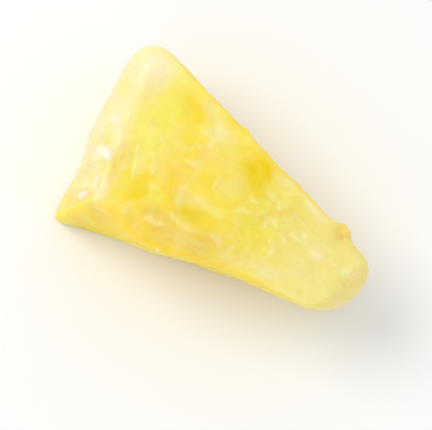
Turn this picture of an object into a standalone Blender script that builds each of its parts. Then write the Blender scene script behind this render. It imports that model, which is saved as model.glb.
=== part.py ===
"""Pineapple chunk: one wedge cut from a peeled slice, resting on its lower slice face.

Metres, +Z up, +X from the wide rind end to the narrow core end. The origin is the
middle of the bounding box at the height of the flat base.

The wedge is a box with grid lines cut into it. Its points move in steps: the rims and
the upright edges are rounded, the box is blended between eight corners, the two ends
swell, and last the uneven surface of the cut flesh is pressed in along the normals.
"""

import bmesh
import bpy
import numpy as np
from mathutils import Vector

# ---- driving dimensions, in metres ----
THICKNESS = 0.0195  # of the slice that the wedge was cut from

# Corners of the upper slice face, before they are rounded.
TOP_WIDE_BACK = (-0.0215, 0.0118)
TOP_WIDE_FRONT = (-0.0146, -0.0121)
TOP_CORE_FRONT = (0.0191, -0.0056)
TOP_CORE_BACK = (0.0203, 0.0041)

# Corners of the lower slice face: the rind end leans out, the front side is undercut.
LOW_WIDE_BACK = (-0.0214, 0.0120)
LOW_WIDE_FRONT = (-0.0175, -0.0135)
LOW_CORE_FRONT = (0.0186, -0.0009)
LOW_CORE_BACK = (0.0200, 0.0047)

# Plan radius of each upright edge.
ROUND_WIDE_BACK = 0.0048
ROUND_WIDE_FRONT = 0.0022
ROUND_CORE_FRONT = 0.0030
ROUND_CORE_BACK = 0.0017

# Radius of the rim round the base, and the width and depth of the arc where the upper
# face meets each of the four walls.
BASE_RADIUS = 0.0007
UPPER_ARCS = {
    "rind": (0.0036, 0.0026),
    "core": (0.0028, 0.0044),
    "front": (0.0012, 0.0018),
    "back": (0.0009, 0.0009),
}

# The rind end's arc is this share of its size at the front and grows toward the back.
RIND_ARC_FRONT = 0.6
RIND_ARC_ACROSS = (-1.0, 0.2)

# Round a corner, one wall's arc turns into the next one's over about this distance.
WALL_BLEND = 0.0015

# How far the rind end, the core end, the low front corner and the front side's upper
# edge swell, and how deep the front half of the rind end was pared away.
RIND_BULGE = 0.0009
CORE_BULGE = 0.0016
LOBE_BULGE = 0.0006
FRONT_BOW = 0.0015
NOTCH_DEPTH = 0.00065

# Where those shapes lie, in box coordinates: these run from -1 to 1 along the wedge
# from the rind to the core, across it from front to back, and up from the base.
RIND_ALONG = (0.2, 1.0)
RIND_FULLEST_UP = 0.3
RIND_SPREAD_UP = 0.95
NOTCH_FRONT = (-1.0, -0.84)
NOTCH_BACK = (0.0, 0.35)
NUB_ALONG = (0.55, 1.0)
NUB_MIDDLE = (0.15, 0.05)
NUB_SPREAD = (1.1, 0.95)
LOBE_MIDDLE = (-1.0, -1.0, -0.35)
LOBE_SPREAD = (0.16, 0.34, 0.6)
BOW_MIDDLE_ALONG = -0.45
BOW_SPREAD_ALONG = 0.4
BOW_ACROSS = (-0.2, 1.0)
BOW_UP = (-1.0, 0.6)

# Mean half length, mean half width and how much the half width tapers.
HALF_LENGTH = 0.0190
HALF_WIDTH = 0.0090
HALF_TAPER = 0.0034

# A torn tuft stands out of the back rim near the core end.
TUFT_PLACE = (0.0149, 0.0052, 0.0193)
TUFT_SIZE = 0.0013
TUFT_OUT = 0.0014

# Hollows where the seed pockets of the eyes were cut across, on the upper face:
# middle, the two half sizes, turn in radians, depth.
EYE_POCKETS = [
    ((-0.0030, -0.0042), (0.0022, 0.0014), 2.2, 0.00030),
    ((-0.0060, 0.0064), (0.0016, 0.0011), 0.4, 0.00030),
    ((0.0055, -0.0004), (0.0018, 0.0010), 0.9, 0.00025),
]

# Pits at the rind end, left where the rind and its eyes were pared away.
PARED_PITS = [
    ((-0.0162, -0.0073), (0.0011, 0.0014), 0.9, 0.00055),
    ((-0.0151, -0.0108), (0.0014, 0.0007), 0.7, 0.00060),
]

# Unevenness of the cut flesh: heights, and the size of one wave.
SWELL_HEIGHT = 0.00018
SWELL_SIZE = 0.0060
FIBRE_HEIGHT = 0.00010
FIBRE_WIDTH = 0.0019
FIBRE_STRETCH = 3.0
SCALLOP_HEIGHT = 0.00016
SCALLOP_SIZE = 0.0034

# The middle of the whole pineapple, which the fibres point at, and the arc radius
# at which a fibre has its stated width.
CORE_AXIS = (0.0445, 0.0005)
FIBRE_RADIUS = 0.04

# Ranges of a normal's upward part: above the first a surface is an upper face, below
# the second it is an upright side, and the third is the same for the base, downward.
TOP_FACING = (0.5, 0.9)
SIDE_FACING = (0.3, 0.8)
BASE_FACING = (0.0, 0.5)

# Cells of the surface grid along the length, the width and the height, and how
# strongly its lines crowd toward both ends.
CELLS_LONG = 40
CELLS_WIDE = 24
CELLS_HIGH = 20
CROWDING = 0.7

# The random lattice: how many heights it has, and how a cell's place picks one.
LATTICE_HEIGHTS = 4096
LATTICE_STRIDES = (7919, 104729, 1299709)
LATTICE_SHIFT = 100.0

FLESH_COLOUR = (0.93, 0.72, 0.16, 1.0)
FLESH_ROUGHNESS = 0.3


def smooth(x, low, high):
    """0 below low, 1 above high, with a soft start and stop between."""
    f = np.clip((x - low) / (high - low), 0.0, 1.0)
    return f * f * (3.0 - 2.0 * f)


def bell(x, middle, spread):
    """1 at the middle, falling off on both sides over about the spread."""
    return np.exp(-(((x - middle) / spread) ** 2))


def spaced(cells):
    """Grid lines from -1 to 1 that stand closer together near both ends."""
    even = np.linspace(-1.0, 1.0, cells + 1)
    return (1 - CROWDING) * even + CROWDING * np.sin(0.5 * np.pi * even)


def sliced_box():
    """A box from -1 to 1 with every grid line of its three directions cut into it."""
    box = bmesh.new()
    bmesh.ops.create_cube(box, size=2.0)
    for axis, cells in enumerate((CELLS_LONG, CELLS_WIDE, CELLS_HIGH)):
        normal = Vector((0.0, 0.0, 0.0))
        normal[axis] = 1.0
        for place in spaced(cells)[1:-1]:
            everything = box.verts[:] + box.edges[:] + box.faces[:]
            bmesh.ops.bisect_plane(box, geom=everything, plane_co=normal * place, plane_no=normal)
    return box


def half_sizes(s):
    """Half the length, width and height of the wedge, at box coordinate s."""
    return HALF_LENGTH, HALF_WIDTH - HALF_TAPER * s, THICKNESS / 2


def rim_arcs(s, t, h):
    """Width and depth of the rim's arc at each point.

    Above, they are those of the four walls, weighted by how near each wall is.
    """
    half_long, half_wide, _ = half_sizes(s)
    away = {
        "rind": (1 + s) * half_long,
        "core": (1 - s) * half_long,
        "front": (1 + t) * half_wide,
        "back": (1 - t) * half_wide,
    }
    rind_share = RIND_ARC_FRONT + (1 - RIND_ARC_FRONT) * smooth(t, *RIND_ARC_ACROSS)
    wide = deep = weights = 0.0
    for wall, (arc_wide, arc_deep) in UPPER_ARCS.items():
        weight = np.exp(-away[wall] / WALL_BLEND)
        share = rind_share if wall == "rind" else 1.0
        wide = wide + weight * arc_wide * share
        deep = deep + weight * arc_deep * share
        weights = weights + weight
    return [np.where(h > 0, arc / weights, BASE_RADIUS) for arc in (wide, deep)]


def round_rims(s, t, h):
    """Both rims rounded: where a side meets a slice face, both bend onto one arc.

    Across the rim a point has two numbers, how far it is toward the wall and how far
    toward the slice face. Their direction from the middle of the arc is kept, and the
    point moves onto the arc. The whole ring of points shrinks by the inward step.
    """
    half_long, half_wide, half_high = half_sizes(s)
    rim_wide, rim_deep = rim_arcs(s, t, h)
    to_wall = np.minimum((1 - np.abs(s)) * half_long, (1 - np.abs(t)) * half_wide)
    inward = np.where(np.abs(h) < 1, 1.0, np.clip(1 - to_wall / rim_wide, 0, 1))
    core_h = np.clip(h, rim_deep / half_high - 1, 1 - rim_deep / half_high)
    upward = (h - core_h) / (rim_deep / half_high)
    length = np.hypot(inward, upward)
    new_wall = np.where(inward > 0, rim_wide * (1 - inward / length), to_wall)
    step = new_wall - to_wall
    new_h = core_h + upward / length * rim_deep / half_high
    return s * (1 - step / half_long), t * (1 - step / half_wide), new_h


def round_corners(s, t):
    """Each upright edge rounded in plan: a corner square pressed into a quarter disc."""
    half_long, half_wide, _ = half_sizes(s)
    front = np.where(s < 0, ROUND_WIDE_FRONT, ROUND_CORE_FRONT)
    back = np.where(s < 0, ROUND_WIDE_BACK, ROUND_CORE_BACK)
    radius = np.where(t < 0, front, back)
    rs, rt = radius / half_long, radius / half_wide
    core_s = np.clip(s, rs - 1, 1 - rs)
    core_t = np.clip(t, rt - 1, 1 - rt)
    a, b = (s - core_s) / rs, (t - core_t) / rt
    square = np.maximum(np.abs(a), np.abs(b))
    disc = np.hypot(a, b)
    pull = np.where(disc > 0, square / np.where(disc > 0, disc, 1), 1)
    return core_s + a * pull * rs, core_t + b * pull * rt


def between_corners(s, t, h, axis):
    """One coordinate of the sharp wedge: its eight corners blended by box coordinates."""
    u, v, w = (s + 1) / 2, (t + 1) / 2, (h + 1) / 2
    low_front = LOW_WIDE_FRONT[axis] * (1 - u) + LOW_CORE_FRONT[axis] * u
    low_back = LOW_WIDE_BACK[axis] * (1 - u) + LOW_CORE_BACK[axis] * u
    top_front = TOP_WIDE_FRONT[axis] * (1 - u) + TOP_CORE_FRONT[axis] * u
    top_back = TOP_WIDE_BACK[axis] * (1 - u) + TOP_CORE_BACK[axis] * u
    low = low_front * (1 - v) + low_back * v
    top = top_front * (1 - v) + top_back * v
    return low * (1 - w) + top * w


def swollen_ends(s, t, h, x, y):
    """The rind end follows the round fruit but is pared deeper in its front half, down
    to a soft lobe at its low front corner. The core end is a blunt nub, and the upper
    edge of the front side is bowed outward."""
    rind_end = smooth(-s, *RIND_ALONG)
    rind = rind_end * (1 - t * t) * bell(h, RIND_FULLEST_UP, RIND_SPREAD_UP)
    notch = rind_end * smooth(t, *NOTCH_FRONT) * smooth(-t, *NOTCH_BACK)
    nub = smooth(s, *NUB_ALONG)
    for place, middle, spread in zip((t, h), NUB_MIDDLE, NUB_SPREAD):
        nub = nub * bell(place, middle, spread)
    lobe = 1.0
    for place, middle, spread in zip((s, t, h), LOBE_MIDDLE, LOBE_SPREAD):
        lobe = lobe * bell(place, middle, spread)
    bow = bell(s, BOW_MIDDLE_ALONG, BOW_SPREAD_ALONG)
    bow = bow * smooth(-t, *BOW_ACROSS) * smooth(h, *BOW_UP)
    x = x - RIND_BULGE * rind + NOTCH_DEPTH * notch + CORE_BULGE * nub
    return x, y - LOBE_BULGE * lobe - FRONT_BOW * bow


def lattice_noise(points, size, seed):
    """Smooth random heights from -1 to 1: a random lattice, blended between its points."""
    table = np.random.default_rng(seed).uniform(-1, 1, LATTICE_HEIGHTS)
    place = points / size + LATTICE_SHIFT
    cell = np.floor(place).astype(np.int64)
    f = place - cell
    f = f * f * (3 - 2 * f)
    total = np.zeros(len(points))
    for corner in np.ndindex(2, 2, 2):
        key = (cell + corner) @ np.array(LATTICE_STRIDES) % LATTICE_HEIGHTS
        total += np.prod(np.where(corner, f, 1 - f), axis=1) * table[key]
    return total


def fibre_frame(points):
    """Distance from the core axis, arc length round it and height, as three columns."""
    dx = CORE_AXIS[0] - points[:, 0]
    dy = points[:, 1] - CORE_AXIS[1]
    arc = np.arctan2(dy, dx) * FIBRE_RADIUS
    return np.stack([np.hypot(dx, dy) / FIBRE_STRETCH, arc, points[:, 2]], axis=1)


def hollows(points, group):
    """Soft oval hollows in plan: each is its depth in the middle and fades outward."""
    total = np.zeros(len(points))
    for (place_x, place_y), (size_a, size_b), turn, depth in group:
        dx, dy = points[:, 0] - place_x, points[:, 1] - place_y
        a = (np.cos(turn) * dx + np.sin(turn) * dy) / size_a
        b = (np.cos(turn) * dy - np.sin(turn) * dx) / size_b
        total += depth * np.exp(-(a * a + b * b))
    return total


def relief(points, normals):
    """Height of the unevenness along the normal: swells, fibres, hollows, scallops."""
    top = smooth(normals[:, 2], *TOP_FACING)
    not_base = 1 - smooth(-normals[:, 2], *BASE_FACING)
    side = 1 - smooth(np.abs(normals[:, 2]), *SIDE_FACING)
    height = SWELL_HEIGHT * lattice_noise(points, SWELL_SIZE, seed=3)
    height += FIBRE_HEIGHT * lattice_noise(fibre_frame(points), FIBRE_WIDTH, seed=5)
    height += side * SCALLOP_HEIGHT * lattice_noise(points, SCALLOP_SIZE, seed=11)
    height -= top * hollows(points, EYE_POCKETS)
    height -= not_base * hollows(points, PARED_PITS)
    return height


def get_vectors(verts, name):
    """One vector of every vertex, its co or its normal, as rows."""
    return np.array([getattr(vert, name)[:] for vert in verts])


def put_points(verts, points):
    for vert, point in zip(verts, points):
        vert.co = point


def chunk_mesh():
    """The whole closed chunk as a bmesh, centred over the origin."""
    chunk = sliced_box()
    s, t, h = get_vectors(chunk.verts, "co").T
    s, t, h = round_rims(s, t, h)
    s, t = round_corners(s, t)
    x, y = between_corners(s, t, h, 0), between_corners(s, t, h, 1)
    x, y = swollen_ends(s, t, h, x, y)
    points = np.stack([x, y, (h + 1) / 2 * THICKNESS], axis=1)
    from_tuft = np.linalg.norm(points - TUFT_PLACE, axis=1)
    points[:, 1] += TUFT_OUT * bell(from_tuft, 0.0, TUFT_SIZE)
    put_points(chunk.verts, points)
    chunk.normal_update()
    normals = get_vectors(chunk.verts, "normal")
    height = relief(points, normals) * smooth(points[:, 2], 0.0, 2 * BASE_RADIUS)
    points = points + normals * height[:, None]
    points[:, 2] = np.maximum(points[:, 2], 0.0)
    low, high = points.min(axis=0), points.max(axis=0)
    middle = (low + high) / 2
    print("middle of the box before centring, metres:", np.round(middle, 6))
    points[:, :2] -= middle[:2]
    put_points(chunk.verts, points)
    return chunk


def flesh_material():
    """Wet yellow flesh: its base colour, a low roughness and no metal."""
    material = bpy.data.materials.new("pineapple_flesh")
    material.use_nodes = True
    shader = material.node_tree.nodes["Principled BSDF"]
    shader.inputs["Base Color"].default_value = FLESH_COLOUR
    shader.inputs["Roughness"].default_value = FLESH_ROUGHNESS
    shader.inputs["Metallic"].default_value = 0.0
    return material


def add_chunk():
    chunk = chunk_mesh()
    mesh = bpy.data.meshes.new("pineapple_chunk")
    chunk.to_mesh(mesh)
    chunk.free()
    mesh.shade_smooth()
    mesh.materials.append(flesh_material())
    thing = bpy.data.objects.new("pineapple_chunk", mesh)
    bpy.context.scene.collection.objects.link(thing)
    print("chunk of", len(mesh.polygons), "quads")
    return thing


for thing in list(bpy.data.objects):
    bpy.data.objects.remove(thing, do_unlink=True)

add_chunk()
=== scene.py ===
# %% [markdown]
# # A pineapple chunk
#
# One wedge of pineapple, cut from a slice and pared, lying on its lower slice face.
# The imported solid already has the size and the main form. This lesson makes the
# surface that the eye sees: wet flesh with fibres, cut seed pockets and pared rind.
# Lengths are in metres, and `MM` turns a number of millimetres into metres.

import bpy
import numpy as np
from mathutils import Matrix, Vector
from mathutils.bvhtree import BVHTree


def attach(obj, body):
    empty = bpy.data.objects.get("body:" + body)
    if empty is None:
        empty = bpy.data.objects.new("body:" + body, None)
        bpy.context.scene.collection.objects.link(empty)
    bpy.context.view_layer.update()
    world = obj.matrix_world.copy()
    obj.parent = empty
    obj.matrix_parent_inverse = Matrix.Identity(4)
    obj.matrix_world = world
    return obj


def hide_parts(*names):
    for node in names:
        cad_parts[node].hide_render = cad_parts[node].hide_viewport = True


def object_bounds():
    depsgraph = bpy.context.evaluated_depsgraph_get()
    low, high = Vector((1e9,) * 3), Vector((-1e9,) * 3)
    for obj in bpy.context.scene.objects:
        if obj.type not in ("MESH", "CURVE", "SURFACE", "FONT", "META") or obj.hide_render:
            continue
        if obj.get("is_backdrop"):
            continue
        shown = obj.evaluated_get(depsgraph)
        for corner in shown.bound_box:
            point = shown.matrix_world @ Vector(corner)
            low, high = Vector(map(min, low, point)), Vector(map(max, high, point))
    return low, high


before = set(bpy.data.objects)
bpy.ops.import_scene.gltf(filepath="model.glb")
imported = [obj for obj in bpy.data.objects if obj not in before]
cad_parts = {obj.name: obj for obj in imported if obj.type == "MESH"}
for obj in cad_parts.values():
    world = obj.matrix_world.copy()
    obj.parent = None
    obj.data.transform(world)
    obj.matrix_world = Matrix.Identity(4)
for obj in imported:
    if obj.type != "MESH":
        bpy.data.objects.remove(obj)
cad_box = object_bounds()
MM = 0.001
print("solid, mm:", [round(x / MM, 1) for x in cad_box[1] - cad_box[0]])

# %% [markdown]
# ## The camera
#
# The chunk is seen from almost straight above, over its front side, from half a metre
# away, so the upper face fills the picture and a strip of the front side shows. The
# camera is rolled so that the wide rind end is at the upper left and the narrow core
# end at the lower right. A long lens suits a small thing seen from that far.

# %% Camera
ELEVATION = np.radians(80.0)
AXIS_DROP = np.radians(36.4)
CAMERA_DISTANCE = 500 * MM
AIM = np.array([0.165, -1.572, 17.0]) * MM
VIEW_WIDTH = 56 * MM
SENSOR = 36.0
CLIP_START = 10 * MM
CLIP_END = 20.0

toward_camera = np.array([0.0, -np.cos(ELEVATION), np.sin(ELEVATION)])
along = np.array([1.0, 0.0, 0.0])
over = np.array([0.0, np.sin(ELEVATION), np.cos(ELEVATION)])
picture_right = along * np.cos(AXIS_DROP) + over * np.sin(AXIS_DROP)
picture_up = over * np.cos(AXIS_DROP) - along * np.sin(AXIS_DROP)

lens = bpy.data.cameras.new("camera")
lens.sensor_width = SENSOR
lens.lens = SENSOR * CAMERA_DISTANCE / VIEW_WIDTH
lens.clip_start = CLIP_START
lens.clip_end = CLIP_END
camera = bpy.data.objects.new("camera", lens)
bpy.context.scene.collection.objects.link(camera)
turn = Matrix((picture_right, picture_up, toward_camera)).transposed()
camera.rotation_euler = turn.to_euler()
camera.location = AIM + toward_camera * CAMERA_DISTANCE
bpy.context.scene.camera = camera
bpy.context.scene.view_settings.view_transform = "Standard"
print("lens, mm:", round(lens.lens))

# %% [markdown]
# ## The sharp wedge
#
# A pineapple slice is a ring, and a chunk is one sector of it. So the chunk is a box
# whose eight corners are pulled to the places of the real corners. Every point of the
# surface has three box coordinates from -1 to 1: `s` from the rind to the core, `t`
# from the front side to the back side, and `h` from the base to the upper face. All
# shapes below are functions of these, so the same point is easy to find again when
# the surface gets its colours.

# %% Corners
THICKNESS = 19.5 * MM
CORNERS = {
    # (core end, back side, upper face): place in plan, in mm
    (0, 0, 0): (-17.5, -13.5),
    (0, 1, 0): (-21.4, 12.0),
    (1, 0, 0): (18.6, -0.9),
    (1, 1, 0): (20.0, 4.7),
    (0, 0, 1): (-14.6, -12.1),
    (0, 1, 1): (-21.5, 11.8),
    (1, 0, 1): (19.1, -5.6),
    (1, 1, 1): (20.3, 4.1),
}
HALF_LENGTH = 19.0 * MM
HALF_WIDTH = 9.0 * MM
HALF_TAPER = 3.4 * MM


def wedge(s, t, h):
    """Each corner's place times the share (1 + coordinate) / 2 or (1 - coordinate) / 2 of
    all three box coordinates, summed; the height is the share of the thickness."""
    plan = np.zeros((len(s), 2))
    for (core, back, upper), place in CORNERS.items():
        share = (1 + s) / 2 if core else (1 - s) / 2
        share = share * ((1 + t) / 2 if back else (1 - t) / 2)
        share = share * ((1 + h) / 2 if upper else (1 - h) / 2)
        plan += share[:, None] * np.array(place) * MM
    return np.column_stack([plan, (h + 1) / 2 * THICKNESS])


def half_sizes(s):
    """Half the length, width and height of the wedge, at box coordinate s."""
    return HALF_LENGTH, HALF_WIDTH - HALF_TAPER * s, THICKNESS / 2


print("half sizes at mid length, mm:", np.round(np.array(half_sizes(0.0)) / MM, 2))

# %% [markdown]
# ## Rims and upright edges
#
# A knife leaves a clean edge in flesh, but juice softens it to about a millimetre. The
# rind end is rounder, because it was pared with slanting strokes. A Bevel modifier
# would give every edge one width. Here the roundness changes along the rim, so the box
# coordinates themselves are moved onto arcs before the wedge is blended.

# %% Arcs of the rims
BASE_RADIUS = 0.7 * MM
UPPER_ARCS = {
    # wall under the upper face: width and depth of the rim's arc
    "rind": (3.6 * MM, 2.6 * MM),
    "core": (2.8 * MM, 4.4 * MM),
    "front": (1.2 * MM, 1.8 * MM),
    "back": (0.9 * MM, 0.9 * MM),
}
RIND_ARC_FRONT = 0.6
RIND_ARC_ACROSS = (-1.0, 0.2)
WALL_BLEND = 1.5 * MM


def smooth(x, low, high):
    """0 below low, 1 above high; between, f * f * (3 - 2 f) of the share f that is done."""
    f = np.clip((x - low) / (high - low), 0.0, 1.0)
    return f * f * (3.0 - 2.0 * f)


def rim_arcs(s, t, h):
    """Width and depth of the arc: those of the four walls, each weighted with exp of
    minus its distance over WALL_BLEND, so one wall's arc turns slowly into the next's."""
    half_long, half_wide, _ = half_sizes(s)
    away = {
        "rind": (1 + s) * half_long,
        "core": (1 - s) * half_long,
        "front": (1 + t) * half_wide,
        "back": (1 - t) * half_wide,
    }
    rind_share = RIND_ARC_FRONT + (1 - RIND_ARC_FRONT) * smooth(t, *RIND_ARC_ACROSS)
    wide = deep = weights = 0.0
    for wall, (arc_wide, arc_deep) in UPPER_ARCS.items():
        weight = np.exp(-away[wall] / WALL_BLEND)
        share = rind_share if wall == "rind" else 1.0
        wide = wide + weight * arc_wide * share
        deep = deep + weight * arc_deep * share
        weights = weights + weight
    return [np.where(h > 0, arc / weights, BASE_RADIUS) for arc in (wide, deep)]


rind_rim, back_rim = np.array(rim_arcs(-1.0, 0.5, 1.0)), np.array(rim_arcs(0.0, 1.0, 1.0))
print("rim arcs, mm: rind", (rind_rim / MM).round(1), "back", (back_rim / MM).round(1))

# %% Rounding
def round_rims(s, t, h):
    """Where a side meets a slice face, the direction from the middle of the rim's arc is
    kept and the distance becomes the radius; the whole ring of points shrinks to match."""
    half_long, half_wide, half_high = half_sizes(s)
    rim_wide, rim_deep = rim_arcs(s, t, h)
    to_wall = np.minimum((1 - np.abs(s)) * half_long, (1 - np.abs(t)) * half_wide)
    inward = np.where(np.abs(h) < 1, 1.0, np.clip(1 - to_wall / rim_wide, 0, 1))
    core_h = np.clip(h, rim_deep / half_high - 1, 1 - rim_deep / half_high)
    upward = (h - core_h) / (rim_deep / half_high)
    length = np.hypot(inward, upward)
    new_wall = np.where(inward > 0, rim_wide * (1 - inward / length), to_wall)
    step = new_wall - to_wall
    new_h = core_h + upward / length * rim_deep / half_high
    return s * (1 - step / half_long), t * (1 - step / half_wide), new_h


back_in = (1 - round_rims(0.0, 1.0, 1.0)[1]) * HALF_WIDTH
print("the back rim's middle is in from the sharp edge by, mm:", round(back_in / MM, 2))

# %% Upright edges
EDGE_RADII = {
    # (core end, back side): plan radius of that upright edge
    (0, 0): 2.2 * MM,
    (0, 1): 4.8 * MM,
    (1, 0): 3.0 * MM,
    (1, 1): 1.7 * MM,
}


def round_corners(s, t):
    """In plan, the square of one radius at each corner is pressed into a quarter disc: a
    point keeps its direction and its larger coordinate becomes its distance."""
    half_long, half_wide, _ = half_sizes(s)
    front = np.where(s < 0, EDGE_RADII[0, 0], EDGE_RADII[1, 0])
    back = np.where(s < 0, EDGE_RADII[0, 1], EDGE_RADII[1, 1])
    radius = np.where(t < 0, front, back)
    rs, rt = radius / half_long, radius / half_wide
    core_s = np.clip(s, rs - 1, 1 - rs)
    core_t = np.clip(t, rt - 1, 1 - rt)
    a, b = (s - core_s) / rs, (t - core_t) / rt
    square = np.maximum(np.abs(a), np.abs(b))
    disc = np.hypot(a, b)
    pull = np.where(disc > 0, square / np.where(disc > 0, disc, 1), 1)
    return core_s + a * pull * rs, core_t + b * pull * rt


print("upright edges, mm:", [round(radius / MM, 1) for radius in EDGE_RADII.values()])

# %% [markdown]
# ## The ends
#
# The rind end was the outside of a round fruit, so it bulges. The core end is a blunt
# nub, fullest above the middle of its height. The knife took a little more from the
# front half of the rind end, and left a soft lobe at its low front corner. The front
# side's cut was bowed, and its upper edge stands out most a quarter of the way along.
# Over the lobe the upper edge draws back, so the lobe is a low shelf under it. Each is
# a push on the blended wedge that fades out smoothly.

# %% Swollen ends
RIND_BULGE = 0.9 * MM
RIND_ALONG = (0.2, 1.0)
RIND_UP = (0.3, 0.95)
NOTCH_DEPTH = 0.65 * MM
NOTCH_FRONT = (-1.0, -0.84)
NOTCH_BACK = (0.0, 0.35)
CORE_BULGE = 1.6 * MM
NUB_ALONG = (0.55, 1.0)
NUB_ACROSS = (0.15, 1.1)
NUB_UP = (0.05, 0.95)
FRONT_BOW = 1.5 * MM
BOW_ALONG = (-0.45, 0.4)
BOW_ACROSS = (-0.2, 1.0)
BOW_UP = (-1.0, 0.6)
LEDGE_DEPTH = 1.05 * MM
LEDGE_ALONG = (-0.82, 0.26)
LEDGE_ACROSS = (0.3, 1.0)
LEDGE_UP = (0.1, 0.95)
LOBE_BULGE = 0.6 * MM
LOBE = ((-1.0, 0.16), (-1.0, 0.34), (-0.35, 0.6))
TUFT_PLACE = np.array([14.9, 5.2, 19.3]) * MM
TUFT_SIZE = 1.3 * MM
TUFT_OUT = 1.4 * MM


def bell(x, middle, spread):
    """exp of minus the square of (x - middle) / spread: 1 at the middle, near 0 two spreads off."""
    return np.exp(-(((x - middle) / spread) ** 2))


def swell_ends(s, t, h, points):
    """The sum of bells in box coordinates, moving the ends along X, the lobe and the bow
    along Y; the tuft is a bell of the distance from its place on the back rim."""
    rind = smooth(-s, *RIND_ALONG) * (1 - t * t) * bell(h, *RIND_UP)
    notch = smooth(-s, *RIND_ALONG) * smooth(t, *NOTCH_FRONT) * smooth(-t, *NOTCH_BACK)
    nub = smooth(s, *NUB_ALONG) * bell(t, *NUB_ACROSS) * bell(h, *NUB_UP)
    lobe = bell(s, *LOBE[0]) * bell(t, *LOBE[1]) * bell(h, *LOBE[2])
    bow = bell(s, *BOW_ALONG) * smooth(-t, *BOW_ACROSS) * smooth(h, *BOW_UP)
    ledge = bell(s, *LEDGE_ALONG) * smooth(-t, *LEDGE_ACROSS) * smooth(h, *LEDGE_UP)
    from_tuft = np.linalg.norm(points - TUFT_PLACE, axis=1)
    points[:, 0] += CORE_BULGE * nub - RIND_BULGE * rind + NOTCH_DEPTH * notch
    points[:, 1] += TUFT_OUT * bell(from_tuft, 0.0, TUFT_SIZE)
    points[:, 1] -= LOBE_BULGE * lobe + FRONT_BOW * bow - LEDGE_DEPTH * ledge
    return points


print("bulges, mm: rind", round(RIND_BULGE / MM, 2), "core", round(CORE_BULGE / MM, 2))

# %% [markdown]
# ## Six grids, one skin
#
# The surface is a function of two parameters on each of the box's six sides. The grid
# lines crowd toward the rims, where the surface bends most. Points that two sides share
# have equal box coordinates, so finding the unique ones welds the six grids into one
# closed skin. The sides are wound so that every face points outward. The middle of the
# base is flat and unseen: there one large face saves thousands for the upper face.

# %% Grids
CELLS = (228, 132, 84)
CROWDING = 0.4
BASE_BAND = 8


def grid_lines(cells):
    """From -1 to 1: an even spacing mixed with a sine's, which is closer at both ends."""
    even = np.linspace(-1.0, 1.0, cells + 1)
    return (1 - CROWDING) * even + CROWDING * np.sin(0.5 * np.pi * even)


def box_side(axis, sign):
    """Points (a, b) of the two other axes in cyclic order, at sign on this axis, and the
    quads between neighbours, turned round on the negative side."""
    i, j = (axis + 1) % 3, (axis + 2) % 3
    a, b = np.meshgrid(grid_lines(CELLS[i]), grid_lines(CELLS[j]), indexing="ij")
    points = np.zeros((a.size, 3))
    points[:, i], points[:, j], points[:, axis] = a.ravel(), b.ravel(), sign
    number = np.arange(a.size).reshape(a.shape)
    corners = [number[:-1, :-1], number[1:, :-1], number[1:, 1:], number[:-1, 1:]]
    quads = np.stack([corner.ravel() for corner in corners], axis=1)
    if axis == 2 and sign < 0:
        inner = number[BASE_BAND:-BASE_BAND, BASE_BAND:-BASE_BAND]
        quads = quads[~np.isin(quads, inner[1:-1, 1:-1]).any(axis=1)]
        ring = [inner[:, 0], inner[-1, 1:], inner[-2::-1, -1], inner[0, -2:0:-1]]
        return points, quads[:, ::-1], np.concatenate(ring)[::-1]
    return points, quads if sign > 0 else quads[:, ::-1], None


def welded_box():
    """All six sides stacked, with equal points made one and unused ones left out."""
    points, quads, ring, count = [], [], None, 0
    for axis in range(3):
        for sign in (-1.0, 1.0):
            side_points, side_quads, base_ring = box_side(axis, sign)
            ring = ring if base_ring is None else base_ring + count
            points.append(side_points)
            quads.append(side_quads + count)
            count += len(side_points)
    unique, inverse = np.unique(np.round(np.concatenate(points), 9), axis=0, return_inverse=True)
    quads, ring = inverse.ravel()[np.concatenate(quads)], inverse.ravel()[ring]
    used, quads = np.unique(quads, return_inverse=True)
    return unique[used], quads.reshape(-1, 4), np.searchsorted(used, ring)


def point_normals(points, quads):
    """Each quad's normal is the cross product of its diagonals; a point takes the sum of
    those round it, made one long."""
    corner = points[quads]
    normal = np.cross(corner[:, 2] - corner[:, 0], corner[:, 3] - corner[:, 1])
    total = np.stack(
        [np.bincount(quads.ravel(), np.repeat(normal[:, k], 4), len(points)) for k in range(3)],
        axis=1,
    )
    return total / np.linalg.norm(total, axis=1, keepdims=True)


box_points, quads, base_face = welded_box()
s, t, h = box_points.T
rim_s, rim_t, rim_h = round_rims(s, t, h)
rim_s, rim_t = round_corners(rim_s, rim_t)
skin = swell_ends(rim_s, rim_t, rim_h, wedge(rim_s, rim_t, rim_h))
normals = point_normals(skin, quads)
print("skin of", len(quads), "quads, mm:", np.round(np.ptp(skin, axis=0) / MM, 1))

# %% [markdown]
# ## Uneven flesh
#
# Flesh is never flat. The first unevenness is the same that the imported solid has: slow
# swells, broad fibres that point at the core of the fruit, and shallow scallops on the
# sides where the knife tore. It comes from value noise: random heights on a lattice,
# blended between its points. In the fibre frame the lattice is stretched along the
# radius, so its bumps become streaks.

# %% Noise and fibre frame
CORE_AXIS = np.array([44.5, 0.5]) * MM
FIBRE_RADIUS = 40 * MM
LATTICE_HEIGHTS = 4096
LATTICE_STRIDES = (7919, 104729, 1299709)
LATTICE_SHIFT = 100.0
TURNED = np.array(Matrix.Rotation(0.9, 3, (1.0, 2.0, 3.0)))
TURNED_SEED = 500


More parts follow.
